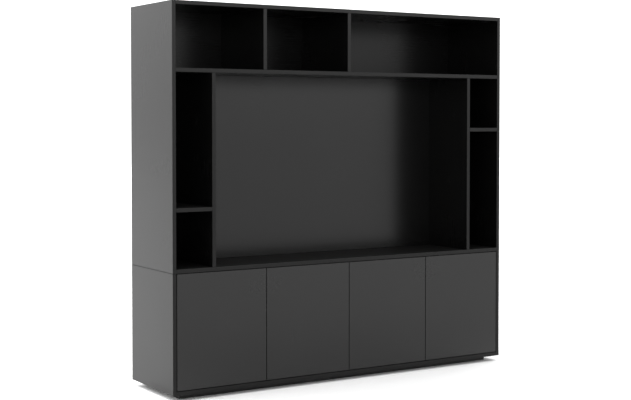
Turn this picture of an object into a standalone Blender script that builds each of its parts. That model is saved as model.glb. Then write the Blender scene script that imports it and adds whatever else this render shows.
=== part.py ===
"""Black wall unit for a television: a low four-door cupboard that carries an open shelf unit.

Metres, +Z up. The front faces -Y, and the origin is on the floor at the middle of the footprint.
"""
from math import atan2, cos, hypot, pi, radians, sin

import bmesh
import bpy
from mathutils import Matrix, Vector

# Driving sizes of the whole unit
UNIT_WIDTH = 2.100
UNIT_DEPTH = 0.500
UNIT_HEIGHT = 2.000
BOARD = 0.020
SEAT_GAP = 0.0003
EDGE_ROUND = 0.0008
CUT_OVERRUN = 0.005
ROUND_SIDES = 24

# Plinth under the cupboard
PLINTH_HEIGHT = 0.030
PLINTH_BOARD = 0.018
PLINTH_SIDE_RECESS = 0.062
PLINTH_FRONT_RECESS = 0.060
PLINTH_REAR_RECESS = 0.040

# Cupboard
CUPBOARD_HEIGHT = 0.612
DOORS = 4
DOOR_THICKNESS = 0.018
DOOR_GAP = 0.004
DOOR_REAR_GAP = 0.0023
INNER_SHELF = 0.018
INNER_SHELF_RECESS = 0.080
INNER_SHELF_RISE = 0.285

# Open shelf unit
TOP_BAY_HEIGHT = 0.315
TOP_BAY_WIDTH = 0.500
SIDE_BAY_WIDTH = 0.202
SMALL_BAY_HEIGHT = 0.285
SCREEN_PANEL_DEPTH = 0.355
SCREEN_PANEL = 0.016

# Rear panels
REAR_PANEL = 0.009
REAR_PANEL_RECESS = 0.020

# Cup hinges: places are measured from a door's hinge corner, inwards and rearwards
HINGE_FROM_DOOR_END = 0.090
CUP_RADIUS = 0.0175
CUP_DEPTH = 0.0117
CUP_FROM_DOOR_EDGE = 0.005
CUP_WALL = 0.0012
FLANGE = 0.0012
FLANGE_WIDTH = 0.018
FLANGE_HEIGHT = 0.062
LINK_PIN_IN = 0.0091
LINK_PIN_BELOW_FACE = 0.0026
LINK_PIN_RADIUS = 0.0011
LINK_PIN_END = 0.0005
LINK_KNUCKLE_RADIUS = 0.0015
LINK_THICKNESS = 0.0024
LINK_HEIGHT = 0.010
LINK_ELBOW_RISE = 0.0061
DOOR_SWING = radians(90)
ARM_REACH = 0.0375
ARM_THICKNESS = 0.0045
ARM_CHEEK = 0.0012
ARM_TIP_OVERLAP = 0.0005
ARM_TIP_DROP = 0.0013
ARM_CHEEK_LENGTH = 0.0115
ARM_LENGTH = 0.038
ARM_FROM_SIDE = 0.015
ARM_BEND_REAR = 0.026
PLATE = 0.0020
PLATE_HEIGHT = 0.052
PLATE_LENGTH = 0.030
MOUNT_BLOCK_HEIGHT = 0.012

# Push latches behind the doors' free edges
LATCH_WIDTH = 0.062
LATCH_LENGTH = 0.058
LATCH_HEIGHT = 0.016
LATCH_SET_BACK = 0.006
PLUNGER_RADIUS = 0.0040
PLUNGER_CLEARANCE = 0.0004
PLUNGER_LENGTH = 0.040
PLUNGER_TRAVEL = 0.003
PLUNGER_FROM_DOOR_EDGE = 0.016

# Levels and planes worked out from the sizes above
LEFT, RIGHT = -UNIT_WIDTH / 2, UNIT_WIDTH / 2
FRONT, REAR = -UNIT_DEPTH / 2, UNIT_DEPTH / 2
INNER_LEFT, INNER_RIGHT = LEFT + BOARD, RIGHT - BOARD
SEAM = PLINTH_HEIGHT + CUPBOARD_HEIGHT
CUPBOARD_FLOOR = PLINTH_HEIGHT + BOARD
CUPBOARD_CEILING = SEAM - BOARD
DECK_TOP = SEAM + BOARD
ROOF_UNDERSIDE = UNIT_HEIGHT - BOARD
LONG_SHELF_TOP = ROOF_UNDERSIDE - TOP_BAY_HEIGHT
LONG_SHELF_UNDERSIDE = LONG_SHELF_TOP - BOARD
REAR_PANEL_FRONT = REAR - REAR_PANEL_RECESS - REAR_PANEL
DOOR_REAR = FRONT + DOOR_THICKNESS
BEHIND_DOORS = DOOR_REAR + DOOR_REAR_GAP
DOOR_WIDTH = (INNER_RIGHT - INNER_LEFT - (DOORS + 1) * DOOR_GAP) / DOORS
DOOR_HEIGHT = SEAM - CUPBOARD_FLOOR - 2 * DOOR_GAP
DOOR_MIDDLE = CUPBOARD_FLOOR + DOOR_GAP + DOOR_HEIGHT / 2
LEFT_UPRIGHT = INNER_LEFT + SIDE_BAY_WIDTH
RIGHT_UPRIGHT = INNER_RIGHT - SIDE_BAY_WIDTH - BOARD

parts = bpy.data.collections.new("wall_unit")
cutters = bpy.data.collections.new("cutters")


def clear_scene():
    for thing in list(bpy.data.objects):
        bpy.data.objects.remove(thing)
    for group in (parts, cutters):
        bpy.context.scene.collection.children.link(group)


def finish(name, colour, roughness, metallic=0.0):
    """A Principled material."""
    new = bpy.data.materials.new(name)
    new.use_nodes = True
    shader = new.node_tree.nodes["Principled BSDF"]
    shader.inputs["Base Color"].default_value = (*colour, 1.0)
    shader.inputs["Roughness"].default_value = roughness
    shader.inputs["Metallic"].default_value = metallic
    return new


def add_object(name, mesh, material=None, group=parts):
    thing = bpy.data.objects.new(name, mesh)
    group.objects.link(thing)
    if material:
        mesh.materials.clear()
        mesh.materials.append(material)
    return thing


def box_mesh(name, low, high):
    """A box between two corners."""
    low, high = Vector(low), Vector(high)
    mesh = bpy.data.meshes.new(name)
    shape = bmesh.new()
    placing = Matrix.Translation((low + high) / 2) @ Matrix.Diagonal((*(high - low), 1.0))
    bmesh.ops.create_cube(shape, size=1.0, matrix=placing)
    shape.to_mesh(mesh)
    shape.free()
    return mesh


def rod_mesh(name, radius, start, end):
    """A round bar between two points."""
    start, end = Vector(start), Vector(end)
    mesh = bpy.data.meshes.new(name)
    shape = bmesh.new()
    turn = (end - start).to_track_quat("Z", "Y").to_matrix().to_4x4()
    placing = Matrix.Translation((start + end) / 2) @ turn
    bmesh.ops.create_cone(shape, cap_ends=True, segments=ROUND_SIDES, radius1=radius, radius2=radius,
                          depth=(end - start).length, matrix=placing)
    shape.to_mesh(mesh)
    shape.free()
    return mesh


def plate_mesh(name, outline, height):
    """A flat outline in the XY plane, thickened evenly above and below it."""
    curve = bpy.data.curves.new(name, "CURVE")
    curve.dimensions = "2D"
    curve.fill_mode = "BOTH"
    curve.extrude = height / 2
    line = curve.splines.new("POLY")
    line.points.add(len(outline) - 1)
    for point, place in zip(line.points, outline):
        point.co = (place[0], place[1], 0.0, 1.0)
    line.use_cyclic_u = True
    guide = bpy.data.objects.new(name, curve)
    cutters.objects.link(guide)
    bpy.context.view_layer.update()
    mesh = bpy.data.meshes.new_from_object(guide.evaluated_get(bpy.context.evaluated_depsgraph_get()))
    bpy.data.objects.remove(guide)
    shape = bmesh.new()
    shape.from_mesh(mesh)
    bmesh.ops.remove_doubles(shape, verts=shape.verts, dist=EDGE_ROUND / 100)
    bmesh.ops.recalc_face_normals(shape, faces=shape.faces)
    shape.to_mesh(mesh)
    shape.free()
    return mesh


def ribbon(points, width):
    """The outline of a strip of even width along a bent line, with mitred bends."""
    points = [Vector(point) for point in points]
    sides = []
    for i, point in enumerate(points):
        runs = [(points[j + 1] - points[j]).normalized() for j in (i - 1, i) if 0 <= j < len(points) - 1]
        along = sum(runs, Vector((0.0, 0.0))).normalized()
        across = Vector((-along.y, along.x))
        reach = width / 2 / abs(across.dot(Vector((-runs[0].y, runs[0].x))))
        sides.append((point + across * reach, point - across * reach))
    return [left for left, right in sides] + [right for left, right in reversed(sides)]


def joined(name, first, *changes, softened=False):
    """One mesh from a first mesh and ("UNION" or "DIFFERENCE", mesh) steps."""
    body = add_object(name, first, group=cutters)
    if softened:
        soften(body)
    tools = []
    for step, (operation, mesh) in enumerate(changes):
        tool = add_object(f"{name}_tool_{step}", mesh, group=cutters)
        boolean = body.modifiers.new(f"step_{step}", "BOOLEAN")
        boolean.operation = operation
        boolean.object = tool
        tools.append(tool)
    bpy.context.view_layer.update()
    result = bpy.data.meshes.new_from_object(body.evaluated_get(bpy.context.evaluated_depsgraph_get()))
    result.name = name
    for thing in (body, *tools):
        bpy.data.objects.remove(thing)
    return result


def shade_round(mesh):
    mesh.shade_smooth()
    mesh.set_sharp_from_angle(angle=radians(35))


def soften(thing):
    """Slightly broken edges, as on a lipped or lacquered board."""
    bevel = thing.modifiers.new("broken_edges", "BEVEL")
    bevel.width = EDGE_ROUND
    bevel.segments = 1
    bevel.limit_method = "ANGLE"
    bevel.harden_normals = False


def board(name, across, depth, levels, material):
    """A board that fills a range of X, Y and Z."""
    corners = list(zip(across, depth, levels))
    middle = (Vector(corners[0]) + Vector(corners[1])) / 2
    low, high = Vector(corners[0]) - middle, Vector(corners[1]) - middle
    thing = add_object(name, box_mesh(name, low, high), material)
    thing.location = middle
    soften(thing)
    return thing


def seated(low, high):
    """A range that stops short of what it meets at both ends."""
    return low + SEAT_GAP, high - SEAT_GAP


def make_plinth(material):
    """Four boards set back under the cupboard."""
    left, right = LEFT + PLINTH_SIDE_RECESS, RIGHT - PLINTH_SIDE_RECESS
    front, rear = FRONT + PLINTH_FRONT_RECESS, REAR - PLINTH_REAR_RECESS
    levels = (0.0, PLINTH_HEIGHT - SEAT_GAP)
    between = seated(front + PLINTH_BOARD, rear - PLINTH_BOARD)
    board("plinth_front", (left, right), (front, front + PLINTH_BOARD), levels, material)
    board("plinth_rear", (left, right), (rear - PLINTH_BOARD, rear), levels, material)
    board("plinth_left", (left, left + PLINTH_BOARD), between, levels, material)
    board("plinth_right", (right - PLINTH_BOARD, right), between, levels, material)


def make_cupboard(material, rear_material):
    """The low carcass: sides, floor, ceiling behind the doors, middle partition and rear panel."""
    whole = (FRONT, REAR)
    inside = seated(INNER_LEFT, INNER_RIGHT)
    levels = seated(CUPBOARD_FLOOR, CUPBOARD_CEILING)
    board("cupboard_left_side", (LEFT, INNER_LEFT), whole, (PLINTH_HEIGHT, SEAM), material)
    board("cupboard_right_side", (INNER_RIGHT, RIGHT), whole, (PLINTH_HEIGHT, SEAM), material)
    board("cupboard_floor", inside, whole, (PLINTH_HEIGHT, CUPBOARD_FLOOR), material)
    board("cupboard_ceiling", inside, (BEHIND_DOORS, REAR), (CUPBOARD_CEILING, SEAM), material)
    board("middle_partition", (-BOARD / 2, BOARD / 2), (BEHIND_DOORS, REAR_PANEL_FRONT - SEAT_GAP),
          levels, material)
    board("cupboard_rear_panel", inside, (REAR_PANEL_FRONT, REAR_PANEL_FRONT + REAR_PANEL), levels,
          rear_material)


def make_inner_shelves(material):
    """One shelf in each half of the cupboard, set back to clear the hinges."""
    depth = (FRONT + INNER_SHELF_RECESS, REAR_PANEL_FRONT - SEAT_GAP)
    underside = CUPBOARD_FLOOR + INNER_SHELF_RISE
    levels = (underside, underside + INNER_SHELF)
    board("inner_shelf_left", seated(INNER_LEFT, -BOARD / 2), depth, levels, material)
    board("inner_shelf_right", seated(BOARD / 2, INNER_RIGHT), depth, levels, material)


def make_shelf_unit(material, rear_material):
    """The open unit: deck, sides, roof, long shelf, dividers, uprights and short shelves."""
    whole = (FRONT, REAR)
    depth = (FRONT, REAR_PANEL_FRONT - SEAT_GAP)
    foot = SEAM + SEAT_GAP
    inside = seated(INNER_LEFT, INNER_RIGHT)
    board("shelf_unit_left_side", (LEFT, INNER_LEFT), whole, (foot, UNIT_HEIGHT), material)
    board("shelf_unit_right_side", (INNER_RIGHT, RIGHT), whole, (foot, UNIT_HEIGHT), material)
    board("roof", inside, whole, (ROOF_UNDERSIDE, UNIT_HEIGHT), material)
    board("deck", inside, whole, (foot, DECK_TOP), material)
    board("long_shelf", inside, depth, (LONG_SHELF_UNDERSIDE, LONG_SHELF_TOP), material)
    board("rear_panel", inside, (REAR_PANEL_FRONT, REAR_PANEL_FRONT + REAR_PANEL),
          seated(DECK_TOP, ROOF_UNDERSIDE), rear_material)

    divider_left = INNER_LEFT + TOP_BAY_WIDTH
    divider_middle = divider_left + BOARD + TOP_BAY_WIDTH
    top_levels = seated(LONG_SHELF_TOP, ROOF_UNDERSIDE)
    board("top_divider_left", (divider_left, divider_left + BOARD), depth, top_levels, material)
    board("top_divider_middle", (divider_middle, divider_middle + BOARD), depth, top_levels, material)

    low_levels = seated(DECK_TOP, LONG_SHELF_UNDERSIDE)
    board("left_upright", (LEFT_UPRIGHT, LEFT_UPRIGHT + BOARD), depth, low_levels, material)
    board("right_upright", (RIGHT_UPRIGHT, RIGHT_UPRIGHT + BOARD), depth, low_levels, material)

    left_shelf = DECK_TOP + SMALL_BAY_HEIGHT
    right_shelf = LONG_SHELF_UNDERSIDE - SMALL_BAY_HEIGHT - BOARD
    board("short_shelf_left", seated(INNER_LEFT, LEFT_UPRIGHT), depth,
          (left_shelf, left_shelf + BOARD), material)
    board("short_shelf_right", seated(RIGHT_UPRIGHT + BOARD, INNER_RIGHT), depth,
          (right_shelf, right_shelf + BOARD), material)
    board("screen_bay_panel", seated(LEFT_UPRIGHT + BOARD, RIGHT_UPRIGHT),
          (FRONT + SCREEN_PANEL_DEPTH, FRONT + SCREEN_PANEL_DEPTH + SCREEN_PANEL), low_levels, material)


def turned(point, angle):
    return Vector((point[0] * cos(angle) - point[1] * sin(angle), point[0] * sin(angle) + point[1] * cos(angle)))


def link_places():
    """The link's pin in the cup, the arm's tip, and the tip as an open door sees it.

    The tip lies on the line through the hinge corner that halves the pin's swing, so the pin is as far
    from it with the door shut as with the door open.
    """
    pin = Vector((LINK_PIN_IN, DOOR_THICKNESS - LINK_PIN_BELOW_FACE))
    tip = turned((ARM_REACH, 0.0), atan2(pin.y, pin.x) - DOOR_SWING / 2)
    return pin, tip, turned(tip, DOOR_SWING)


def link_swing():
    """How far the link turns in its cup while the door opens."""
    pin, tip, open_tip = link_places()
    shut, opened = tip - pin, open_tip - pin
    return atan2(opened.y, opened.x) - atan2(shut.y, shut.x)


def hinge_heights():
    lift = DOOR_HEIGHT / 2 - HINGE_FROM_DOOR_END
    return lift, -lift


def cup_middle():
    return CUP_FROM_DOOR_EDGE + CUP_RADIUS


def door_mesh():
    """A door from its hinge corner, with a bored pocket for each cup."""
    half = DOOR_HEIGHT / 2
    slab = box_mesh("door_slab", (0.0, 0.0, -half), (DOOR_WIDTH, DOOR_THICKNESS, half))
    bore = CUP_RADIUS + SEAT_GAP
    floor = DOOR_THICKNESS - CUP_DEPTH - SEAT_GAP
    bores = [("DIFFERENCE", rod_mesh("cup_bore", bore, (cup_middle(), floor, height),
                                     (cup_middle(), DOOR_THICKNESS + CUT_OVERRUN, height)))
             for height in hinge_heights()]
    mesh = joined("door", slab, *bores, softened=True)
    shade_round(mesh)
    return mesh


def cup_mesh():
    """A pressed cup with its flange; its middle is at the origin and its mouth at the door's rear face."""
    face = SEAT_GAP
    top = face + FLANGE
    bowl = rod_mesh("cup_bowl", CUP_RADIUS, (0.0, -CUP_DEPTH, 0.0), (0.0, top, 0.0))
    flange = box_mesh("cup_flange", (-FLANGE_WIDTH / 2, face, -FLANGE_HEIGHT / 2),
                      (FLANGE_WIDTH / 2, top, FLANGE_HEIGHT / 2))
    pocket = rod_mesh("cup_pocket", CUP_RADIUS - CUP_WALL, (0.0, CUP_WALL - CUP_DEPTH, 0.0),
                      (0.0, top + CUT_OVERRUN, 0.0))
    mesh = joined("hinge_cup", bowl, ("UNION", flange), ("DIFFERENCE", pocket))
    shade_round(mesh)
    return mesh


def link_mesh():
    """A bent link that hangs on its pin, in the place that it has with the door shut."""
    pin, tip, open_tip = link_places()
    elbow = Vector((0.0, LINK_ELBOW_RISE))
    route = [turned(place, -link_swing()) for place in ((0.0, 0.0), elbow, open_tip - pin)]
    strip = plate_mesh("link_strip", ribbon(route, LINK_THICKNESS), LINK_HEIGHT)
    half_pin = LINK_HEIGHT / 2 + LINK_PIN_END
    knuckle = rod_mesh("link_knuckle", LINK_KNUCKLE_RADIUS, (0.0, 0.0, -LINK_HEIGHT / 2),
                       (0.0, 0.0, LINK_HEIGHT / 2))
    rod = rod_mesh("link_pin", LINK_PIN_RADIUS, (0.0, 0.0, -half_pin), (0.0, 0.0, half_pin))
    mesh = joined("hinge_link", strip, ("UNION", knuckle), ("UNION", rod))
    shade_round(mesh)
    return mesh


def arm_mesh(face):
    """A cranked arm with two cheeks for the link, and a block and plate on a carcass face."""
    pin, tip, open_tip = link_places()
    height = LINK_HEIGHT + 2 * SEAT_GAP + 2 * ARM_CHEEK
    middle = tip.x + ARM_TIP_OVERLAP - ARM_THICKNESS / 2
    end = tip.y - ARM_TIP_DROP
    bend = DOOR_THICKNESS + ARM_BEND_REAR
    rear = bend + ARM_LENGTH
    route = [(middle, end), (middle, end + ARM_CHEEK_LENGTH + ARM_THICKNESS), (ARM_FROM_SIDE, bend),
             (ARM_FROM_SIDE, rear)]
    strip = plate_mesh("arm_strip", ribbon(route, ARM_THICKNESS), height)
    inside = height / 2 - ARM_CHEEK
    channel = box_mesh("arm_channel", (middle - ARM_THICKNESS, end - CUT_OVERRUN, -inside),
                       (middle + ARM_THICKNESS, end + ARM_CHEEK_LENGTH, inside))
    wall = face + SEAT_GAP
    plate_front = bend + (ARM_LENGTH - PLATE_LENGTH) / 2
    plate = box_mesh("arm_plate", (wall, plate_front, -PLATE_HEIGHT / 2),
                     (wall + PLATE, plate_front + PLATE_LENGTH, PLATE_HEIGHT / 2))
    block = box_mesh("arm_block", (wall + PLATE / 2, plate_front + PLATE, -MOUNT_BLOCK_HEIGHT / 2),
                     (ARM_FROM_SIDE, plate_front + PLATE_LENGTH - PLATE, MOUNT_BLOCK_HEIGHT / 2))
    mesh = joined("hinge_arm", strip, ("DIFFERENCE", channel), ("UNION", block), ("UNION", plate))
    shade_round(mesh)
    return mesh


def make_doors(door_finish, steel):
    """Four doors in two pairs. An outer door hangs on a side, an inner one on the partition."""
    slab, cup, link = door_mesh(), cup_mesh(), link_mesh()
    side_arm, partition_arm = arm_mesh(-DOOR_GAP), arm_mesh((BOARD - DOOR_GAP) / 2)
    pin = link_places()[0]
    for mesh in (cup, link, side_arm, partition_arm):
        mesh.materials.append(steel)
    for number in range(1, DOORS + 1):
        left_edge = INNER_LEFT + DOOR_GAP + (number - 1) * (DOOR_WIDTH + DOOR_GAP)
        hung_left = number % 2 == 1
        corner = bpy.data.objects.new(f"hinge_corner_{number}", None)
        parts.objects.link(corner)
        corner.location = (left_edge if hung_left else left_edge + DOOR_WIDTH, FRONT, DOOR_MIDDLE)
        corner.rotation_euler.y = 0.0 if hung_left else pi
        door = add_object(f"door_{number}", slab, door_finish)
        door.parent = corner
        for place, height in zip(("upper", "lower"), hinge_heights()):
            height = height if hung_left else -height
            hung = add_object(f"hinge_cup_{place}_{number}", cup)
            hung.parent = door
            hung.location = (cup_middle(), DOOR_THICKNESS, height)
            swung = add_object(f"hinge_link_{place}_{number}", link)
            swung.parent = door
            swung.location = (pin.x, pin.y, height)
            outer = number in (1, DOORS)
            fixed = add_object(f"hinge_arm_{place}_{number}", side_arm if outer else partition_arm)
            fixed.parent = corner
            fixed.location = (0.0, 0.0, height)


def make_latches(body_plastic, plunger_plastic):
    """A twin latch under the ceiling behind each pair of free edges, with one plunger for each door."""
    level = CUPBOARD_CEILING - SEAT_GAP - LATCH_HEIGHT / 2
    front = DOOR_REAR + LATCH_SET_BACK
    tip = DOOR_REAR + SEAT_GAP
    bore = PLUNGER_RADIUS + PLUNGER_CLEARANCE
    bore_end = tip + PLUNGER_LENGTH + PLUNGER_TRAVEL + SEAT_GAP
    for pair, side in enumerate(("left", "right")):
        middle = INNER_LEFT + 1.5 * DOOR_GAP + DOOR_WIDTH + pair * 2 * (DOOR_WIDTH + DOOR_GAP)
        spots = (-PLUNGER_FROM_DOOR_EDGE, PLUNGER_FROM_DOOR_EDGE)
        block = box_mesh("latch_block", (-LATCH_WIDTH / 2, front, -LATCH_HEIGHT / 2),
                         (LATCH_WIDTH / 2, front + LATCH_LENGTH, LATCH_HEIGHT / 2))
        bores = [("DIFFERENCE", rod_mesh("latch_bore", bore, (spot, front - CUT_OVERRUN, 0.0),
                                         (spot, bore_end, 0.0))) for spot in spots]
        body = joined("latch_body", block, *bores)
        body.materials.append(body_plastic)
        shade_round(body)
        latch = add_object(f"push_latch_{side}", body)
        latch.location = (middle, 0.0, level)
        for step, spot in enumerate(spots):
            number = 1 + pair * 2 + step
            rod = rod_mesh("plunger", PLUNGER_RADIUS, (0.0, 0.0, 0.0), (0.0, PLUNGER_LENGTH, 0.0))
            shade_round(rod)
            plunger = add_object(f"latch_plunger_{number}", rod, plunger_plastic)
            plunger.location = (middle + spot, tip, level)


def main():
    clear_scene()
    black_board = finish("black_board", (0.014, 0.014, 0.015), 0.30)
    black_door = finish("black_door", (0.016, 0.016, 0.017), 0.27)
    rear_board = finish("rear_board", (0.014, 0.014, 0.015), 0.32)
    plinth_board = finish("plinth_board", (0.010, 0.010, 0.011), 0.45)
    steel = finish("nickelled_steel", (0.62, 0.61, 0.58), 0.30, 1.0)
    latch_plastic = finish("latch_plastic", (0.09, 0.09, 0.095), 0.50)
    plunger_plastic = finish("plunger_plastic", (0.16, 0.16, 0.165), 0.45)
    make_plinth(plinth_board)
    make_cupboard(black_board, rear_board)
    make_inner_shelves(black_board)
    make_shelf_unit(black_board, rear_board)
    make_doors(black_door, steel)
    make_latches(latch_plastic, plunger_plastic)
    pin, tip, open_tip = link_places()
    print("link turns in its cup by", round(link_swing() * 180 / pi, 3), "degrees per door swing of",
          round(DOOR_SWING * 180 / pi, 1), "length", round(hypot(*(tip - pin)), 5))
    print("link pin", [round(value, 5) for value in pin], "arm tip", [round(value, 5) for value in tip])


main()
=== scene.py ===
from math import cos, pi, radians, sin

import bmesh
import bpy
from mathutils import Matrix, Vector


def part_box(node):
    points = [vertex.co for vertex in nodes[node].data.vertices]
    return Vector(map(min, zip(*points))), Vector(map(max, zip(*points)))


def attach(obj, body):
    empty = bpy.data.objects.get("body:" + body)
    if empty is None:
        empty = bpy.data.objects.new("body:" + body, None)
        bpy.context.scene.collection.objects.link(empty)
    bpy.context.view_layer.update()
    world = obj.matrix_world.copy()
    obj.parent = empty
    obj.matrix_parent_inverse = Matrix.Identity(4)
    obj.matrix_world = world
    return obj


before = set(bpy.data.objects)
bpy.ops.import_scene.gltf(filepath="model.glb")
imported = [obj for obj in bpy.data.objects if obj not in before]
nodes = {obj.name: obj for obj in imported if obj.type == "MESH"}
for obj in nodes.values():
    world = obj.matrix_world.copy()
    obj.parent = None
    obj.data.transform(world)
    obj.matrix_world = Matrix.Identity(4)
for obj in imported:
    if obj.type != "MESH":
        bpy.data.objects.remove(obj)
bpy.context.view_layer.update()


# The studio: a camera at eye height with its lens lowered a little, and a pale floor, dimmer toward
# the front. Near the unit the floor is painted brighter, a painted light that lifts the unit's contact
# shadow.
# In the white surround a large soft light stands high behind the unit on its left,
# another hangs overhead, and a bright band lies low in front. Nothing of it belongs to the unit.
FRAME_PIXELS = 631
LENS_DROP_PIXELS = 42
LENS = 72.094
SENSOR_WIDTH = 36.0
CAMERA_SIGHT = 200.0
CAMERA_PLACE = (-3.7617, -5.9200, 1.4077)
CAMERA_TILT = 1.7361
CAMERA_TURN = 32.0241
ROOM_LIGHT = 1.90
KEY_LIGHT = 3.00
KEY_DIRECTION = Vector((-0.45, 0.62, 0.65)).normalized()
KEY_RIM = (0.75, 0.97)
FRONT_RIM = (-0.30, 0.10)
FRONT_LOW = -0.65
FRONT_BAND = 3.10
FRONT_HIGH = -1.00
BAND_FOOT = (0.0, 0.20)
BAND_HEAD = (0.15, 0.28)
OVERHEAD = 1.40
OVERHEAD_RIM = (0.6, 0.95)
FLOOR_REACH = 30.0
FLOOR_BRIGHT = 0.90
FLOOR_BRIGHT_TO = -0.35
FLOOR_DIM = 0.60
FLOOR_DIM_FROM = -1.2
FLOOR_MOTTLE = 1.5
FLOOR_MOTTLE_DULLS = 0.1
FLOOR_DULLNESS = 0.85
FLOOR_SHEEN = 0.2
FLOOR_RELIEF = 0.0005

camera_data = bpy.data.cameras.new("camera")
camera_data.sensor_width = SENSOR_WIDTH
camera_data.lens = LENS
camera_data.shift_y = -LENS_DROP_PIXELS / FRAME_PIXELS
camera_data.clip_end = CAMERA_SIGHT
camera = bpy.data.objects.new("camera", camera_data)
camera.location = CAMERA_PLACE
camera.rotation_euler = (radians(90 - CAMERA_TILT), 0, radians(-CAMERA_TURN))
scene = bpy.context.scene
scene.collection.objects.link(camera)
scene.camera = camera
scene.view_settings.view_transform = "Standard"


class Wire:
    """One output in a node tree. Arithmetic on it adds Math nodes."""

    def __init__(self, tree, socket=None):
        self.tree = tree
        self.socket = socket

    def node(self, kind, settings=None, values=None, output=0):
        """Adds a node: first its settings, then the values or links of its sockets."""
        made = self.tree.nodes.new("ShaderNode" + kind)
        for name, value in (settings or {}).items():
            setattr(made, name, value)
        for key, value in (values or {}).items():
            if isinstance(key, int):
                socket = made.inputs[key]
            else:
                socket = next(s for s in made.inputs if s.name == key and s.enabled)
            if isinstance(value, Wire):
                self.tree.links.new(value.socket, socket)
            else:
                socket.default_value = value
        return Wire(self.tree, made.outputs[output]) if made.outputs else None

    def maths(self, operation, *terms):
        return self.node("Math", {"operation": operation}, dict(enumerate(terms)))

    def __add__(self, other):
        return self.maths("ADD", self, other)

    def __sub__(self, other):
        return self.maths("SUBTRACT", self, other)

    def __rsub__(self, other):
        return self.maths("SUBTRACT", other, self)

    def __mul__(self, other):
        return self.maths("MULTIPLY", self, other)

    __radd__ = __add__
    __rmul__ = __mul__

    def least(self, other):
        return self.maths("MINIMUM", self, other)

    def most(self, other):
        return self.maths("MAXIMUM", self, other)

    def vectors(self, operation, *terms, output=0):
        return self.node("VectorMath", {"operation": operation}, dict(enumerate(terms)), output)

    def part(self, axis):
        return self.node("SeparateXYZ", {}, {"Vector": self}, axis)

    def between(self, low, high):
        """0 below low, 1 above high, and a smooth rise from one to the other."""
        ends = {"Value": self, "From Min": low, "From Max": high}
        return self.node("MapRange", {"interpolation_type": "SMOOTHSTEP"}, ends)

    def noise(self, scale, detail=3.0, roughness=0.5):
        """Noise over this place, with about that many lumps to the metre."""
        values = {"Vector": self, "Scale": scale, "Detail": detail, "Roughness": roughness}
        return self.node("TexNoise", {}, values)

    def patches(self, scale, detail, low, high):
        """Soft-edged patches: noise that starts to show at low and shows in full at high."""
        return self.noise(scale, detail).between(low, high)

    def mix(self, first, second):
        """The first colour where this wire is 0, the second where it is 1."""
        return self.node("Mix", {"data_type": "RGBA"}, {"Factor": self, "A": first, "B": second}, 2)


def grey(level, warmth=0.0):
    """A near-neutral colour, redder than it is blue where warmth is above 0."""
    return (level * (1 + warmth), level, level * (1 - warmth), 1.0)


def new_material(name):
    """An empty material, and the wire that its nodes start from."""
    material = bpy.data.materials.new(name)
    material.use_nodes = True
    material.node_tree.nodes.clear()
    return material, Wire(material.node_tree)


def surface(start, colour, roughness, height, depth, metallic=0.0, specular=0.5):
    """Closes a material: its colour, its gloss, and its relief of that depth in metres."""
    normal = start.node("Bump", {}, {"Strength": 1.0, "Distance": depth, "Height": height})
    values = {"Base Color": colour, "Roughness": roughness, "Metallic": metallic}
    values.update({"Specular IOR Level": specular, "Normal": normal})
    start.node("OutputMaterial", {}, {"Surface": start.node("BsdfPrincipled", {}, values)})


world = bpy.data.worlds.new("studio_surround")
world.use_nodes = True
world.node_tree.nodes.clear()
scene.world = world
outward = Wire(world.node_tree).node("TexCoord", output="Generated")
key = outward.vectors("DOT_PRODUCT", outward, KEY_DIRECTION, output=1).between(*KEY_RIM)
front = 1 - outward.part(1).between(*FRONT_RIM)
raised = outward.part(2).between(*BAND_FOOT)
above = outward.part(2).between(*BAND_HEAD)
band = FRONT_LOW * (1 - raised) + FRONT_BAND * raised * (1 - above) + FRONT_HIGH * above
overhead = outward.part(2).between(*OVERHEAD_RIM) * OVERHEAD
glow = {"Color": grey(1.0), "Strength": ROOM_LIGHT + key * KEY_LIGHT + front * band + overhead}
outward.node("OutputWorld", {}, {"Surface": outward.node("Background", {}, glow)})

floor_mesh = bpy.data.meshes.new("studio_floor")
floor_ends = ((-1, -1), (1, -1), (1, 1), (-1, 1))
floor_corners = [(x * FLOOR_REACH, y * FLOOR_REACH, 0) for x, y in floor_ends]
floor_mesh.from_pydata(floor_corners, [], [(0, 1, 2, 3)])
floor = bpy.data.objects.new("studio_floor", floor_mesh)
scene.collection.objects.link(floor)
floor_paint, start = new_material("studio_floor")
place = start.node("TexCoord", output="Object")
mottle = place.noise(FLOOR_MOTTLE)
# Painted light: close to the plinth the floor's colour is brighter, to lift the unit's contact shadow there.
painted_lift = place.part(1).between(FLOOR_DIM_FROM, FLOOR_BRIGHT_TO)
paint = painted_lift.mix(grey(FLOOR_DIM), grey(FLOOR_BRIGHT))
dullness = FLOOR_DULLNESS + mottle * FLOOR_MOTTLE_DULLS
surface(start, paint, dullness, mottle, FLOOR_RELIEF, specular=FLOOR_SHEEN)
floor_mesh.materials.append(floor_paint)


# The plinth: four black boards on edge, set back under the cupboard on all sides.
# They are faced chipboard like the rest, a little duller, and scuffed along the floor.
PLINTH_BLACK = 0.003
PLINTH_DULLNESS = 0.40
PLINTH_HEIGHT = 0.03

# The facing of every board: its sheen and tint, the grain in it, and the sprayed skin over it.
BOARD_SHEEN = 0.185
BOARD_WARMTH = 0.02
BOARD_RELIEF = 0.00002
GRAIN_ALONG = 8.0
GRAIN_ACROSS = 400.0
GRAIN_SHIFT = 7.0
GRAIN_DARK = 0.85
GRAIN_LIGHT = 1.2
GRAIN_DULLS = 0.03
GRAIN_RELIEF = 0.15
RIPPLE = 9.0
SPRAY = 800.0
SPRAY_RELIEF = 0.2
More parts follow.
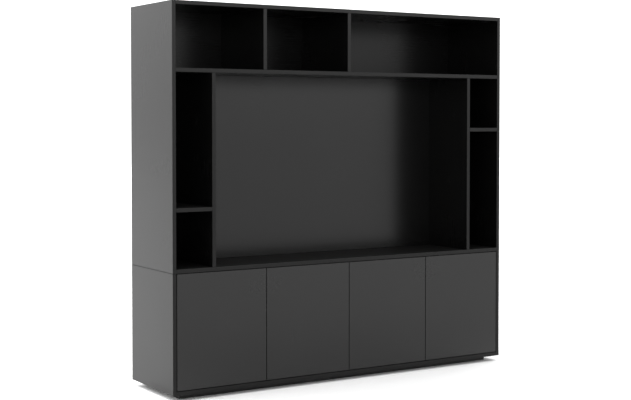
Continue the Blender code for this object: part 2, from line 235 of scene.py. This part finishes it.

# What use leaves on it: smudges, worn edges, dirt in the seam, dust, finger marks and scuffs. The edges also
# carry a painted highlight.
# Each has its own tone where it colours the board, and adds to the roughness what it dulls.
SMUDGES = {"scale": 3.5, "detail": 2.0, "low": 0.45, "high": 0.75}
SMUDGE_DULLS = 0.02
EDGE_WEAR_AND_GLINT = 0.0022
RUBS_AND_GLINTS = {"scale": 70.0, "detail": 3.0, "low": 0.45, "high": 0.8}
RUB_AND_GLINT_TONE = 0.03
RUB_AND_GLINT_SHARE = 0.5
RUB_DULLS = 0.08
SEAM_DIRT = 0.0025
SEAM_DULLS = 0.4
DUST_LIES_FLAT = (0.9, 0.99)
DUST_CLUMPS = {"scale": 25.0, "detail": 5.0, "low": 0.35, "high": 0.7}
DUST_LEAST = 0.6
DUST_TONE = 0.12
DUST_WARMTH = 0.04
DUST_DULLS = 0.26
FINGER_REACH = (0.02, 0.11)
FINGER_MARKS = {"scale": 45.0, "detail": 2.0, "low": 0.42, "high": 0.6}
FINGER_DULLS = 0.03
SCUFFS = {"scale": 40.0, "detail": 4.0, "low": 0.5, "high": 0.7}
SCUFF_TONE = 0.06
SCUFF_WARMTH = 0.03
SCUFF_SHARE = 0.2
SCUFF_DULLS = 0.2


def board_finish(
    node, tone, roughness, specular=BOARD_SHEEN, open_edges=True,
    dust=0.0, handled=None, scuffed=0.0, seam=None,
):
    """Satin black board: a faint grain along its length, a fine sprayed skin, and open edges worn a little
    and painted lighter as a highlight.

    Fingers touch it at the place handled, and shoes and brooms reach up to the height scuffed.
    At the height of the seam it meets a like board: that edge gets neither wear nor painted highlight, and
    gathers dirt.
    """
    low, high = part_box(node)
    middle = (low + high) / 2
    half = (high - low) / 2
    along = max(range(3), key=lambda axis: half[axis])
    stretch = [GRAIN_ALONG if axis == along else GRAIN_ACROSS for axis in range(3)]
    material, start = new_material(node + "_finish")
    place = start.node("TexCoord", output="Object")
    shifted = place.vectors("ADD", place, tuple(GRAIN_SHIFT * value for value in middle))
    grain = shifted.vectors("MULTIPLY", shifted, stretch).noise(scale=1.0, detail=4.0, roughness=0.6)
    ripple = shifted.noise(RIPPLE, detail=1.0)
    spray = place.noise(SPRAY, detail=2.0)
    colour = grain.mix(grey(tone * GRAIN_DARK, BOARD_WARMTH), grey(tone * GRAIN_LIGHT, BOARD_WARMTH))
    gloss = roughness + shifted.patches(**SMUDGES) * SMUDGE_DULLS + (grain - 0.5) * GRAIN_DULLS
    if open_edges:
        inset = place.vectors("SUBTRACT", place, tuple(middle))
        inset = place.vectors("SUBTRACT", tuple(half), place.vectors("ABSOLUTE", inset))
        x, y, z = (inset.part(axis) for axis in range(3))
        from_edge = x.least(y).most(x.most(y).least(z))
        # Edges lighter in a narrow band: partly wear, partly a painted highlight standing in for the glint of
        # a rounded edge.
        rubbed_and_glint = (1 - from_edge.between(0.0, EDGE_WEAR_AND_GLINT)) * place.patches(**RUBS_AND_GLINTS)
        if seam:
            apart = place.maths("ABSOLUTE", place.part(2) - seam)
            rubbed_and_glint = rubbed_and_glint * apart.between(EDGE_WEAR_AND_GLINT, 2 * EDGE_WEAR_AND_GLINT)
            gloss = gloss + (1 - apart.between(SEAM_DIRT / 2, SEAM_DIRT)) * SEAM_DULLS
        colour = (rubbed_and_glint * RUB_AND_GLINT_SHARE).mix(colour, grey(RUB_AND_GLINT_TONE))
        gloss = gloss + rubbed_and_glint * RUB_DULLS
    if dust:
        upward = start.node("TexCoord", output="Normal").part(2).between(*DUST_LIES_FLAT)
        clumps = DUST_LEAST + place.patches(**DUST_CLUMPS) * (1 - DUST_LEAST)
        colour = (upward * clumps * dust).mix(colour, grey(DUST_TONE, DUST_WARMTH))
        gloss = gloss + upward * DUST_DULLS
    if handled:
        reach = place.vectors("DISTANCE", place, handled, output=1)
        touched = (1 - reach.between(*FINGER_REACH)) * place.patches(**FINGER_MARKS)
        gloss = gloss + touched * FINGER_DULLS
    if scuffed:
        marked = (1 - place.part(2).between(0.0, scuffed)) * shifted.patches(**SCUFFS)
        colour = (marked * SCUFF_SHARE).mix(colour, grey(SCUFF_TONE, SCUFF_WARMTH))
        gloss = gloss + marked * SCUFF_DULLS
    relief = ripple + grain * GRAIN_RELIEF + spray * SPRAY_RELIEF
    surface(start, colour, gloss, relief, BOARD_RELIEF, specular=specular)
    return material


def dress(node, material):
    """Gives a CAD node its finish."""
    mesh = nodes[node].data
    mesh.materials.clear()
    mesh.materials.append(material)


for side in ("front", "rear", "left", "right"):
    node = f"plinth_{side}"
    dress(node, board_finish(node, PLINTH_BLACK, PLINTH_DULLNESS, scuffed=PLINTH_HEIGHT))


# The cupboard's case: sides, floor, ceiling and middle partition of 20 mm board, doweled and glued.
# All faces and edges are satin black. Rows of 5 mm holes for shelf pins are drilled
# 32 mm apart into the upright boards.
BLACK = 0.0022
CASE_SATIN = 0.28
CASE_DUST = 0.015
PIN_HOLE_RADIUS = 0.0025
PIN_HOLE_DEPTH = 0.0085
PIN_HOLE_PITCH = 0.032
PIN_HOLE_STEPS = range(-3, 4)
PIN_COLUMNS = (-0.133, 0.183)
ROUND = 24
SMOOTH_TO = 35
RIGHTWARD = (1, 0, 0)


def circle(radius, height, count=ROUND):
    """Points round the Z axis."""
    angles = [2 * pi * step / count for step in range(count)]
    return [Vector((radius * cos(angle), radius * sin(angle), height)) for angle in angles]


def skin(name, rings, looped=False):
    """A closed mesh through rings of as many points each: capped at both ends, or looped round."""
    built = bmesh.new()
    rows = [[built.verts.new(point) for point in ring] for ring in rings]
    pairs = list(zip(rows, rows[1:]))
    if looped:
        pairs.append((rows[-1], rows[0]))
    else:
        built.faces.new(rows[0])
        built.faces.new(rows[-1])
    for row, following in pairs:
        for step in range(len(row)):
            beside = (step + 1) % len(row)
            built.faces.new((row[step], row[beside], following[beside], following[step]))
    bmesh.ops.recalc_face_normals(built, faces=built.faces)
    mesh = bpy.data.meshes.new(name)
    built.to_mesh(mesh)
    built.free()
    return mesh


def facing(place, direction, turn=0.0):
    """A place for a shape whose top looks in that direction, first turned about its own axis."""
    aimed = Vector(direction).to_track_quat("Z", "Y").to_matrix().to_4x4()
    return Matrix.Translation(place) @ aimed @ Matrix.Rotation(turn, 4, "Z")


def assembled(name, shapes, flat=False):
    """One object from (mesh, place) pairs: flat-faced, or rounded where its faces meet at a low angle."""
    built = bmesh.new()
    for mesh, place in shapes:
        copy = mesh.copy()
        copy.transform(place)
        built.from_mesh(copy)
        bpy.data.meshes.remove(copy)
    mesh = bpy.data.meshes.new(name)
    built.to_mesh(mesh)
    built.free()
    if not flat:
        mesh.shade_smooth()
        mesh.set_sharp_from_angle(angle=radians(SMOOTH_TO))
    thing = bpy.data.objects.new(name, mesh)
    scene.collection.objects.link(thing)
    return thing


def drilled(thing, cutters):
    """Takes the cutters' shapes out of a thing, and hides the cutters."""
    cutters.hide_render = True
    holes = thing.modifiers.new("holes", "BOOLEAN")
    holes.operation = "DIFFERENCE"
    holes.object = cutters


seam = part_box("cupboard_left_side")[1].z
for node in ("cupboard_left_side", "cupboard_right_side"):
    dress(node, board_finish(node, BLACK, CASE_SATIN, seam=seam))
for node in ("cupboard_ceiling", "middle_partition"):
    dress(node, board_finish(node, BLACK, CASE_SATIN))
dress("cupboard_floor", board_finish("cupboard_floor", BLACK, CASE_SATIN, dust=CASE_DUST))

# The upright faces with pin holes: the node, its face's X, and which way it looks.
drilled_faces = (
    ("cupboard_left_side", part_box("cupboard_left_side")[1].x, 1),
    ("middle_partition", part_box("middle_partition")[0].x, -1),
    ("middle_partition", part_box("middle_partition")[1].x, 1),
    ("cupboard_right_side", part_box("cupboard_right_side")[0].x, -1),
)
# The tops of the shelf pins carry the shelves, so their middles stand a radius lower.
pin_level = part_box("inner_shelf_left")[0].z - PIN_HOLE_RADIUS
drill = skin("drill", [circle(PIN_HOLE_RADIUS, height) for height in (-PIN_HOLE_DEPTH, PIN_HOLE_DEPTH)])
for node in ("cupboard_left_side", "middle_partition", "cupboard_right_side"):
    holes = [
        (drill, facing((face, column, pin_level + step * PIN_HOLE_PITCH), RIGHTWARD))
        for bored, face, _ in drilled_faces if bored == node
        for column in PIN_COLUMNS
        for step in PIN_HOLE_STEPS
    ]
    drilled(nodes[node], assembled(f"{node}_drills", holes))


# The two inner shelves: 18 mm boards behind the doors, each lying on four steel pins.
# A pin is a 5 mm peg with a collar, pushed into one of the holes, and its collar is cut flat
# on top so that the shelf's end passes it.
COLLAR_RADIUS = 0.0042
COLLAR = 0.001
PEG_REACH = 0.009
PEG_ROUND = 0.0006
PIN_SLACK = 0.0001
PIN_SHORT = 0.001
PIN_TOP_CUT = 0.0002
STEEL_WARMTH = 0.03
STEEL_CLOUDS = 120.0
CLOUD_DARK = 0.9
CLOUD_LIGHT = 1.05
CLOUD_DULLS = 0.12
TUMBLING = 2500.0
STEEL_RELIEF = 0.00001


def steel_finish(name, tone, roughness):
    """Nickel-plated steel: bright, a little warm, tumbled smooth, with faint clouding."""
    material, start = new_material(name)
    place = start.node("TexCoord", output="Object")
    cloud = place.noise(STEEL_CLOUDS)
    tumbled = place.noise(TUMBLING, detail=2.0)
    colour = cloud.mix(grey(tone * CLOUD_DARK, STEEL_WARMTH), grey(tone * CLOUD_LIGHT, STEEL_WARMTH))
    gloss = roughness + (cloud - 0.5) * CLOUD_DULLS
    surface(start, colour, gloss, tumbled + cloud, STEEL_RELIEF, metallic=1.0)
    return material


def cut_flat(mesh, level):
    """Cuts a mesh off at that height of its own Y axis, and closes it there."""
    built = bmesh.new()
    built.from_mesh(mesh)
    whole = built.verts[:] + built.edges[:] + built.faces[:]
    cut = bmesh.ops.bisect_plane(
        built, geom=whole, plane_co=(0, level, 0), plane_no=(0, 1, 0), clear_outer=True,
    )
    rim = [piece for piece in cut["geom_cut"] if isinstance(piece, bmesh.types.BMEdge)]
    bmesh.ops.edgeloop_fill(built, edges=rim)
    built.to_mesh(mesh)
    built.free()


nickel = steel_finish("nickel", tone=0.60, roughness=0.27)
dark_steel = steel_finish("dark_steel", tone=0.16, roughness=0.38)

for node in ("inner_shelf_left", "inner_shelf_right"):
    dress(node, board_finish(node, BLACK, CASE_SATIN, dust=CASE_DUST))

pin = skin("shelf_pin", [
    circle(PIN_HOLE_RADIUS - PIN_SLACK, PIN_SHORT - PIN_HOLE_DEPTH),
    circle(PIN_HOLE_RADIUS - PIN_SLACK, 0.0),
    circle(COLLAR_RADIUS, 0.0),
    circle(COLLAR_RADIUS, COLLAR),
    circle(PIN_HOLE_RADIUS, COLLAR),
    circle(PIN_HOLE_RADIUS, PEG_REACH - PEG_ROUND),
    circle(PIN_HOLE_RADIUS - PEG_ROUND, PEG_REACH),
])
cut_flat(pin, PIN_HOLE_RADIUS - PIN_TOP_CUT)
places = [
    facing((face, column, pin_level), (way, 0, 0))
    for _, face, way in drilled_faces
    for column in PIN_COLUMNS
]
pins = assembled("shelf_pins", [(pin, place) for place in places])
pins.data.materials.append(nickel)
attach(pins, "carcass")


# The four doors: flush slabs without handles, painted satin black, opened by a push near
# the free edge. Soft dots on their backs meet the case. Fingers have left the paint
# a little duller there.
DOORS = (1, 2, 3, 4)
DOORS_HUNG_LEFT = (1, 3)
DOOR_BLACK = 0.0025
DOOR_SATIN = 0.25
DOOR_SHEEN = 0.375
PUSH_HEIGHT = 0.56
PUSH_FROM_EDGE = 0.045
DOT_RADIUS = 0.0038
DOT_THICKNESS = 0.0018
DOT_PROFILE = ((1.0, 0.0), (1.0, 0.4), (0.86, 0.8), (0.55, 1.0))
DOT_FROM_EDGE = 0.012
DOT_DARK = 0.42
DOT_LIGHT = 0.52
DOT_WARMTH = 0.03
DOT_CLOUDS = 600.0
DOT_CLOUD_DULLS = 0.15
DOT_DULLNESS = 0.3
DOT_RELIEF = 0.00002
BACKWARD = (0, 1, 0)


def turned(radius, height, profile, count=ROUND):
    """Rings of a turned shape: each step of the profile is a share of the radius and of the height."""
    return [circle(radius * out, height * up, count) for out, up in profile]


dot = skin("door_dot", turned(DOT_RADIUS, DOT_THICKNESS, DOT_PROFILE))
dot_material, start = new_material("milky_rubber")
cloud = start.node("TexCoord", output="Object").noise(DOT_CLOUDS)
milky = cloud.mix(grey(DOT_DARK, DOT_WARMTH), grey(DOT_LIGHT, DOT_WARMTH))
surface(start, milky, DOT_DULLNESS + cloud * DOT_CLOUD_DULLS, cloud, DOT_RELIEF)
for number in DOORS:
    node = f"door_{number}"
    low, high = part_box(node)
    hung_left = number in DOORS_HUNG_LEFT
    free_edge, hinge_edge, way = (high.x, low.x, -1) if hung_left else (low.x, high.x, 1)
    push = (free_edge + way * PUSH_FROM_EDGE, low.y, PUSH_HEIGHT)
    dress(node, board_finish(node, DOOR_BLACK, DOOR_SATIN, specular=DOOR_SHEEN, handled=push))
    level = (high.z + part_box("cupboard_ceiling")[0].z) / 2
    edges = (free_edge + way * DOT_FROM_EDGE, hinge_edge - way * DOT_FROM_EDGE)
    places = [facing((edge, high.y, level), BACKWARD) for edge in edges]
    dots = assembled(f"door_{number}_dots", [(dot, place) for place in places])
    dots.data.materials.append(dot_material)
    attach(dots, node)


# The concealed hinges: pressed and nickel-plated steel cups, links and cranked arms, two to a door.
# Countersunk screws hold each cup's flange to the door and each plate to the case,
# and two more on the arm set the door's place.
FLANGE_SCREW_SPREAD = 0.024
PLATE_SCREW_SPREAD = 0.019
PLATE = 0.0020
PLATE_MIDDLE = -0.187
ARM_SCREWS = (-0.197, -0.178)
ARM_FACE = 0.01725
SCREW_ROUND = 32
SCREW_PROFILE = ((1.0, 0.35), (0.9, 0.75), (0.72, 1.0))
SCREW_TURNS = (0.3, 0.9, 1.5, 0.1)
HEAD_SUNK = 0.0002
CROSS_ARM = 0.58
CROSS_HALF_WIDTH = 0.15
CROSS_FOOT_ARM = 0.8
CROSS_FOOT_WIDTH = 0.7
CROSS_FOOT_HEIGHT = 0.2


def cross(arm, half_width, height):
    """The outline of a cross recess. Its quarters of eight points add up to those of a screw's rim."""
    inner = (arm + half_width) / 2
    quarter = (
        (arm, 0), (arm, half_width / 2), (arm, half_width), (inner, half_width),
        (half_width, half_width), (half_width, inner), (half_width, arm), (half_width / 2, arm),
    )
    points = []
    for step in range(4):
        turn = Matrix.Rotation(step * pi / 2, 3, "Z")
        points += [turn @ Vector((x, y, height)) for x, y in quarter]
    return points


def screw_head(name, radius, height):
    """A low domed head with a cross recess. It sits at the origin and looks along +Z."""
    arm = radius * CROSS_ARM
    half_width = radius * CROSS_HALF_WIDTH
    foot = circle(radius, -HEAD_SUNK, SCREW_ROUND)
    dome = turned(radius, height, SCREW_PROFILE, SCREW_ROUND)
    mouth = cross(arm, half_width, height)
    bottom = cross(arm * CROSS_FOOT_ARM, half_width * CROSS_FOOT_WIDTH, height * CROSS_FOOT_HEIGHT)
    return skin(name, [foot, *dome, mouth, bottom])


def screwed(name, body, head, spots, material):
    """Screw heads at (place, direction) spots, each turned its own way, riding on that body."""
    turns = [SCREW_TURNS[step % len(SCREW_TURNS)] for step in range(len(spots))]
    heads = [(head, facing(place, direction, turn)) for (place, direction), turn in zip(spots, turns)]
    thing = assembled(name, heads)
    thing.data.materials.append(material)
    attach(thing, body)


flange_screw = screw_head("flange_screw", radius=0.0033, height=0.0010)
arm_screw = screw_head("arm_screw", radius=0.0030, height=0.0012)
for number in DOORS:
    on_door, on_case, on_arm = [], [], []
    hung_left = number in DOORS_HUNG_LEFT
    way = 1 if hung_left else -1
    low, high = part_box(f"door_{number}")
    strip = (low.x if hung_left else high.x) + way * ARM_FACE
    for place in ("upper", "lower"):
        for piece in ("cup", "link", "arm"):
            dress(f"hinge_{piece}_{place}_{number}", nickel)
        low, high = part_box(f"hinge_cup_{place}_{number}")
        middle = (low + high) / 2
        for lift in (-FLANGE_SCREW_SPREAD, FLANGE_SCREW_SPREAD):
            on_door.append(((middle.x, high.y, middle.z + lift), BACKWARD))
        low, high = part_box(f"hinge_arm_{place}_{number}")
        plate = (low.x if hung_left else high.x) + way * PLATE
        for lift in (-PLATE_SCREW_SPREAD, PLATE_SCREW_SPREAD):
            on_case.append(((plate, PLATE_MIDDLE, middle.z + lift), (way, 0, 0)))
        for along in ARM_SCREWS:
            on_arm.append(((strip, along, middle.z), (way, 0, 0)))
    screwed(f"door_{number}_flange_screws", f"door_{number}", flange_screw, on_door, nickel)
    screwed(f"hinge_plate_screws_{number}", "carcass", flange_screw, on_case, nickel)
    screwed(f"hinge_arm_screws_{number}", "carcass", arm_screw, on_arm, nickel)


# The push latches: a twin body of moulded plastic behind each pair of free door edges,
# screwed up to the ceiling, with a sprung plunger for each door.
LATCH_SCREW_SPREAD = 0.025
LATCH_SCREW_BACK = 0.012
PLASTIC_TEXTURE = 1800.0
PLASTIC_FLOW = 60.0
FLOW_DARK = 0.9
FLOW_LIGHT = 1.1
FLOW_DULLS = 0.08
PLASTIC_RELIEF = 0.00002
DOWNWARD = (0, 0, -1)


def plastic_finish(name, tone, roughness):
    """Moulded plastic with a fine spark-eroded texture."""
    material, start = new_material(name)
    place = start.node("TexCoord", output="Object")
    texture = place.noise(PLASTIC_TEXTURE)
    flow = place.noise(PLASTIC_FLOW, detail=2.0)
    colour = flow.mix(grey(tone * FLOW_DARK), grey(tone * FLOW_LIGHT))
    surface(start, colour, roughness + flow * FLOW_DULLS, texture, PLASTIC_RELIEF)
    return material


latch_plastic = plastic_finish("latch_plastic_finish", tone=0.030, roughness=0.42)
plunger_plastic = plastic_finish("plunger_plastic_finish", tone=0.35, roughness=0.35)
latch_screw = screw_head("latch_screw", radius=0.0032, height=0.0010)
spots = []
for side in ("left", "right"):
    node = f"push_latch_{side}"
    dress(node, latch_plastic)
    low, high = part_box(node)
    middle = (low + high) / 2
    for across in (-LATCH_SCREW_SPREAD, LATCH_SCREW_SPREAD):
        spots.append(((middle.x + across, middle.y + LATCH_SCREW_BACK, low.z), DOWNWARD))
screwed("latch_screws", "carcass", latch_screw, spots, dark_steel)
for number in DOORS:
    dress(f"latch_plunger_{number}", plunger_plastic)


# The open shelf unit: sides, roof, deck, shelves, dividers and uprights of the same 20 mm board.
# The sides stop at a seam above the cupboard, where the unit is lifted off for a move.
# Dust lies on the shelves.
SHELF_SATIN = 0.26
SHELF_DUST = 0.02

for node in ("shelf_unit_left_side", "shelf_unit_right_side"):
    dress(node, board_finish(node, BLACK, SHELF_SATIN, dust=SHELF_DUST, seam=seam))
for node in (
    "roof", "deck", "long_shelf", "left_upright", "right_upright",
    "short_shelf_left", "short_shelf_right", "top_divider_left", "top_divider_middle",
):
    dress(node, board_finish(node, BLACK, SHELF_SATIN, dust=SHELF_DUST))


# The rear panels: thin faced board let in behind the bays and behind the cupboard,
# and a thicker one set forward in the wide bay, so that cables run down behind it.
# Black screws go through the thin ones into the shelves and uprights.
THIN_PANELS = ("rear_panel", "cupboard_rear_panel")
PANEL_SATIN = 0.27
PANEL_SHEEN = 0.165
BAY_PANEL_SATIN = 0.25
BAY_PANEL_SHEEN = 0.29
LONG_SHELF_LEVEL = 1.655
LONG_SHELF_SCREWS = [-0.945 + step * 0.27 for step in range(8)]
UPRIGHTS_AT = (-0.818, 0.818)
UPRIGHT_SCREWS = [0.72 + step * 0.2 for step in range(5)]
DIVIDERS_AT = (-0.52, 0.0)
DIVIDER_SCREWS = (1.74, 1.90)
SHORT_SHELF_SCREWS = [(-0.93, 0.957), (0.93, 1.35)]
PARTITION_SCREWS = (0.12, 0.34, 0.56)

for node in THIN_PANELS:
    dress(node, board_finish(node, BLACK, PANEL_SATIN, specular=PANEL_SHEEN, open_edges=False))
node = "screen_bay_panel"
dress(node, board_finish(node, BLACK, BAY_PANEL_SATIN, specular=BAY_PANEL_SHEEN, open_edges=False))
panel_screw = screw_head("panel_screw", radius=0.0035, height=0.0006)
behind_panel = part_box("rear_panel")[1].y
spots = [(x, LONG_SHELF_LEVEL) for x in LONG_SHELF_SCREWS]
spots += [(x, z) for x in UPRIGHTS_AT for z in UPRIGHT_SCREWS]
spots += [(x, z) for x in DIVIDERS_AT for z in DIVIDER_SCREWS]
spots += SHORT_SHELF_SCREWS
spots += [(0.0, z) for z in PARTITION_SCREWS]
spots = [((x, behind_panel, z), BACKWARD) for x, z in spots]
screwed("panel_screws", "carcass", panel_screw, spots, dark_steel)


# The glue round the thin panels: a line of black glue fills the fine gap between each panel's rim
# and the boards that frame it, and keeps light and dust out.
GLUE_LINE = (0.00002, 0.00028)
GLUE_INSET = 0.0005
PANEL_CORNERS = ((False, False), (True, False), (True, True), (False, True))
glue = plastic_finish("glue_finish", tone=0.018, roughness=0.5)


def glue_ring(low, high, right, top):
    """The glue's section at one corner of a panel's rim."""
    inner, outer = GLUE_LINE
    front = low.y + GLUE_INSET
    rear = high.y - GLUE_INSET
    ring = []
    for reach, y in ((inner, front), (outer, front), (outer, rear), (inner, rear)):
        x = high.x + reach if right else low.x - reach
        z = high.z + reach if top else low.z - reach
        ring.append(Vector((x, y, z)))
    return ring


for node in THIN_PANELS:
    low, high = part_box(node)
    rings = [glue_ring(low, high, right, top) for right, top in PANEL_CORNERS]
    line = skin(f"{node}_glue", rings, looped=True)
    line = assembled(f"{node}_glue", [(line, Matrix())], flat=True)
    line.data.materials.append(glue)
    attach(line, "carcass")


# The panel clips: black plastic wedges in the recess behind the thin panels. Each is screwed
# to the board beside it and presses the panel forward.
CLIP_WIDTH = 0.018
CLIP_LEG = 0.0125
CLIP_TOE = 0.0022
CLIP_HEEL = 0.0030
CLIP_SCREW_ALONG = 0.0088
CLEARANCE = 0.0002
CLIP_OUTLINE = (
    (0, 0), (CLIP_LEG, 0), (CLIP_LEG, CLIP_TOE), (CLIP_LEG / 2, CLIP_HEEL), (CLIP_LEG / 3, CLIP_LEG / 3),
    (CLIP_HEEL, CLIP_LEG / 2), (CLIP_TOE, CLIP_LEG), (0, CLIP_LEG),
)
CLIPS_ACROSS_SHELVES = (-0.90, -0.60, -0.30, 0.0, 0.30, 0.60, 0.90)
CLIPS_ACROSS_CUPBOARD = (-0.80, -0.40, 0.40, 0.80)
CLIP_LEVELS = (0.20, 0.45, 0.85, 1.20, 1.55, 1.82)
LEFTWARD = (-1, 0, 0)
UPWARD = (0, 0, 1)

ends = (-CLIP_WIDTH / 2, CLIP_WIDTH / 2)
clip = skin("clip", [[Vector((x, y, end)) for x, y in CLIP_OUTLINE] for end in ends])
clip_screw = screw_head("clip_screw", radius=0.0026, height=0.0008)
clip_plastic = plastic_finish("clip_plastic", tone=0.018, roughness=0.45)


def clip_place(x, z, to_board):
    """A clip's place: its X axis leads away from the board, its Y axis away from the panel."""
    away = -Vector(to_board)
    back = Vector(BACKWARD)
    corner = Vector((x, behind_panel, z)) + (away + back) * CLEARANCE
    return Matrix.Translation(corner) @ Matrix((away, back, away.cross(back))).transposed().to_4x4()


places = []
for x in CLIPS_ACROSS_SHELVES:
    places.append(clip_place(x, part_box("roof")[0].z, UPWARD))
    places.append(clip_place(x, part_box("deck")[1].z, DOWNWARD))
for x in CLIPS_ACROSS_CUPBOARD:
    places.append(clip_place(x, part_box("cupboard_ceiling")[0].z, UPWARD))
    places.append(clip_place(x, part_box("cupboard_floor")[1].z, DOWNWARD))
for z in CLIP_LEVELS:
    unit = "cupboard" if z < seam else "shelf_unit"
    places.append(clip_place(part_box(f"{unit}_left_side")[1].x, z, LEFTWARD))
    places.append(clip_place(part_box(f"{unit}_right_side")[0].x, z, RIGHTWARD))
clips = assembled("panel_clips", [(clip, place) for place in places])
clips.data.materials.append(clip_plastic)
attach(clips, "carcass")
seat = Vector((CLIP_TOE, CLIP_SCREW_ALONG, 0))
spots = [(place @ seat, place.to_3x3() @ Vector(RIGHTWARD)) for place in places]
screwed("clip_screws", "carcass", clip_screw, spots, dark_steel)


# The fixings: sleeve bolts under the cupboard's ceiling hold the shelf unit down,
# and two steel angles in the recess at the back tie the roof to the wall.
BOLT_RADIUS = 0.0085
BOLT_HEAD = 0.0022
BOLT_PROFILE = ((1.0, 0.4), (0.92, 0.8), (0.75, 1.0), (0.32, 1.0), (0.30, 0.1))
BOLTS_ACROSS = (-0.90, -0.30, 0.30, 0.90)
BOLTS_DEEP = (-0.12, 0.15)
ANGLE_FROM_MIDDLE = 0.70
ANGLE_HALF_WIDTH = 0.020
ANGLE_LEG = 0.019
ANGLE_DROP = 0.055
ANGLE_STEEL = 0.002
ANGLE_BEND = 0.0015
ANGLE_BEND_MIDDLE = 0.3
ANGLE_FILLET = 0.0005
ANGLE_ROUNDING = ((0.0, 0.005), (0.0015, 0.002), (0.005, 0.0))
ANGLE_SCREW_BACK = 0.0085
SLOT_RADIUS = 0.0028
SLOT_HALF_LENGTH = 0.008
SLOT_DROP = 0.033
SLOT_CUT = 0.01

foot = circle(BOLT_RADIUS, -HEAD_SUNK)
bolt = skin("unit_bolt", [foot, *turned(BOLT_RADIUS, BOLT_HEAD, BOLT_PROFILE)])
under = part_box("cupboard_ceiling")[0].z
spots = [((x, y, under), DOWNWARD) for x in BOLTS_ACROSS for y in BOLTS_DEEP]
screwed("unit_bolts", "carcass", bolt, spots, nickel)


def angle_ring(x, short):
    """The bent strip's section at x, shortened at both ends to round the strip's corners."""
    tip = short
    foot = short - ANGLE_DROP
    bend = ANGLE_BEND * ANGLE_BEND_MIDDLE
    inner = ANGLE_LEG - ANGLE_STEEL
    outline = (
        (tip, 0), (ANGLE_LEG - ANGLE_BEND, 0), (ANGLE_LEG - bend, -bend), (ANGLE_LEG, -ANGLE_BEND),
        (ANGLE_LEG, foot), (inner, foot),
        (inner, -ANGLE_STEEL - ANGLE_FILLET), (inner - ANGLE_FILLET, -ANGLE_STEEL), (tip, -ANGLE_STEEL),
    )
    return [Vector((x, y, z)) for y, z in outline]


def slot_ring(height):
    """A slot's outline: a circle whose halves are drawn apart along X."""
    apart = Vector((SLOT_HALF_LENGTH, 0, 0))
    return [point + (apart if point.x > 0 else -apart) for point in circle(SLOT_RADIUS, height)]


left_half = [angle_ring(inset - ANGLE_HALF_WIDTH, short) for inset, short in ANGLE_ROUNDING]
right_half = [angle_ring(ANGLE_HALF_WIDTH - inset, short) for inset, short in reversed(ANGLE_ROUNDING)]
angle = skin("wall_angle", left_half + right_half)
slot = skin("angle_slot", [slot_ring(height) for height in (-SLOT_CUT, SLOT_CUT)])
seat = Vector((0, behind_panel + CLEARANCE * 2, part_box("roof")[0].z - CLEARANCE))
places, slots, spots = [], [], []
for x in (-ANGLE_FROM_MIDDLE, ANGLE_FROM_MIDDLE):
    corner = seat + Vector((x, 0, 0))
    places.append(Matrix.Translation(corner))
    slots.append(facing(corner + Vector((0, ANGLE_LEG, -SLOT_DROP)), BACKWARD, pi / 2))
    spots.append((corner + Vector((0, ANGLE_SCREW_BACK, -ANGLE_STEEL)), DOWNWARD))
angles = assembled("wall_angles", [(angle, place) for place in places], flat=True)
drilled(angles, assembled("wall_angle_slots", [(slot, place) for place in slots]))
angles.data.materials.append(dark_steel)
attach(angles, "carcass")
screwed("angle_screws", "carcass", arm_screw, spots, dark_steel)
